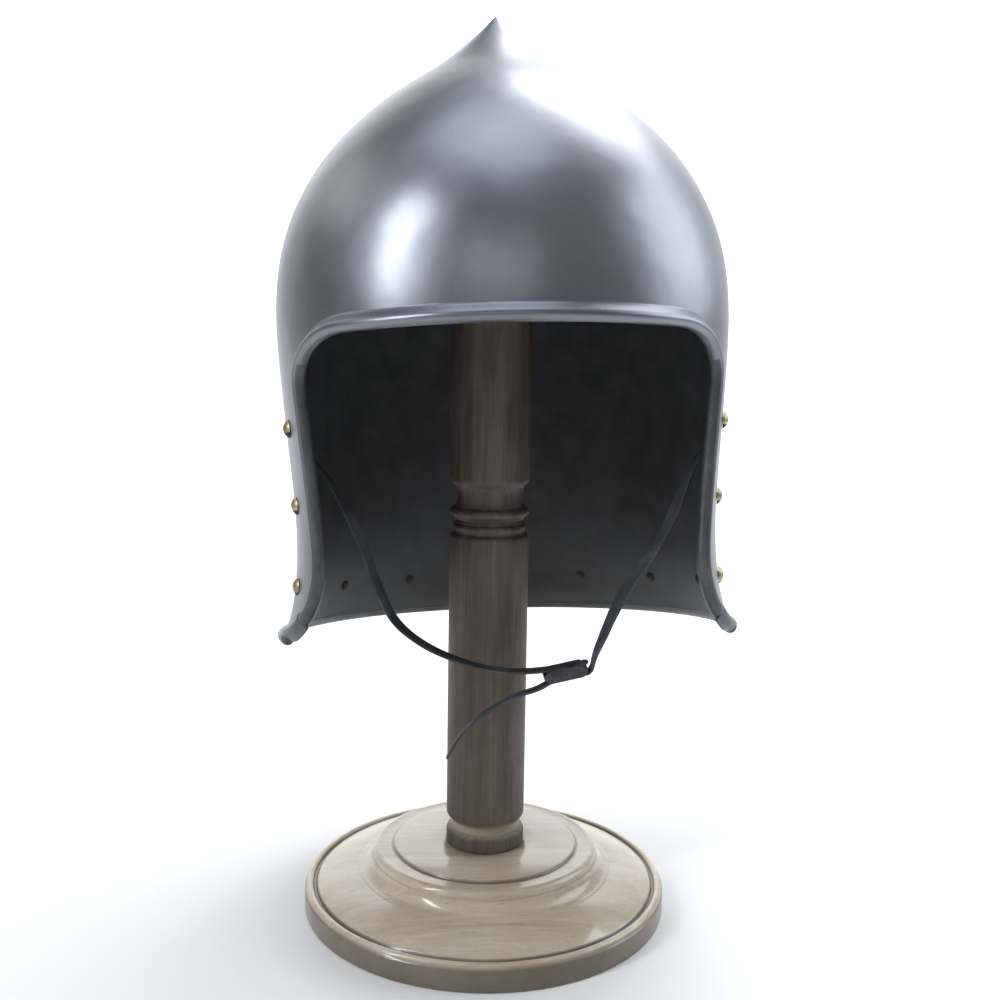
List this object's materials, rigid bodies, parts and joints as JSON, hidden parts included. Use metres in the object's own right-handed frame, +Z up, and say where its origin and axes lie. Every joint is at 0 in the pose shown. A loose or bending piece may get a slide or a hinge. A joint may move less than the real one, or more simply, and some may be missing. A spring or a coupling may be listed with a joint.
{
  "type": "open-faced knight helmet on a display stand",
  "caption": "Steel open-faced helmet with an onion-shaped point, rolled edges, brass rivets and a chin strap, resting on a turned wooden stand.",
  "frame": {"origin": "centre of the base's underside, on the post's axis", "axes": "+Z up along the post, -Y towards the helmet's face opening, +X to the helmet's left-hand side as its wearer stands"},
  "size_m": [0.2339, 0.2668, 0.452],
  "materials": {
    "helmet_steel": "satin blued-grey polish, darker inside",
    "rivet_brass": "aged, domed heads",
    "fastener_steel": "plain zinc grey",
    "strap_leather": "matt charcoal",
    "slide_black": "fine grain",
    "base_wood": "pale, clear lacquered",
    "post_wood": "dark stained, worn",
    "dowel_wood": "raw"
  },
  "bodies": {
    "stand": {"base_plate": "base_wood", "base_screw": "fastener_steel", "screw_washer": "fastener_steel", "screw_plug": "base_wood", "lower_post": "post_wood", "post_dowel": "dowel_wood", "upper_post": "post_wood"},
    "helmet": {"skull": "helmet_steel", "face_edge_roll": "helmet_steel", "neck_edge_roll": "helmet_steel", "neck_rivet_1": "rivet_brass", "neck_rivet_2": "rivet_brass", "neck_rivet_3": "rivet_brass", "neck_rivet_4": "rivet_brass", "neck_rivet_5": "rivet_brass", "neck_rivet_6": "rivet_brass", "neck_rivet_7": "rivet_brass", "cheek_rivet_right_lower": "rivet_brass", "cheek_rivet_right_middle": "rivet_brass", "cheek_rivet_left_lower": "rivet_brass", "cheek_rivet_left_middle": "rivet_brass", "strap_rivet_right": "rivet_brass", "strap_rivet_left": "rivet_brass", "strap_washer_right": "fastener_steel", "strap_washer_left": "fastener_steel"},
    "chin_strap": {"long_strap": "strap_leather", "short_strap": "strap_leather", "strap_slide": "slide_black"}
  },
  "joints": [
    {"name": "helmet_lift", "type": "slide", "parent": "stand", "child": "helmet", "axis": [0, 0, 1], "range_m": [0, 0.32]},
    {"name": "chin_strap_swing", "type": "hinge", "parent": "helmet", "child": "chin_strap", "pos_m": [0.0061, -0.04, 0.2561], "axis": [-0.9995, 0, -0.0332], "range_deg": [-5, 90]}
  ]
}
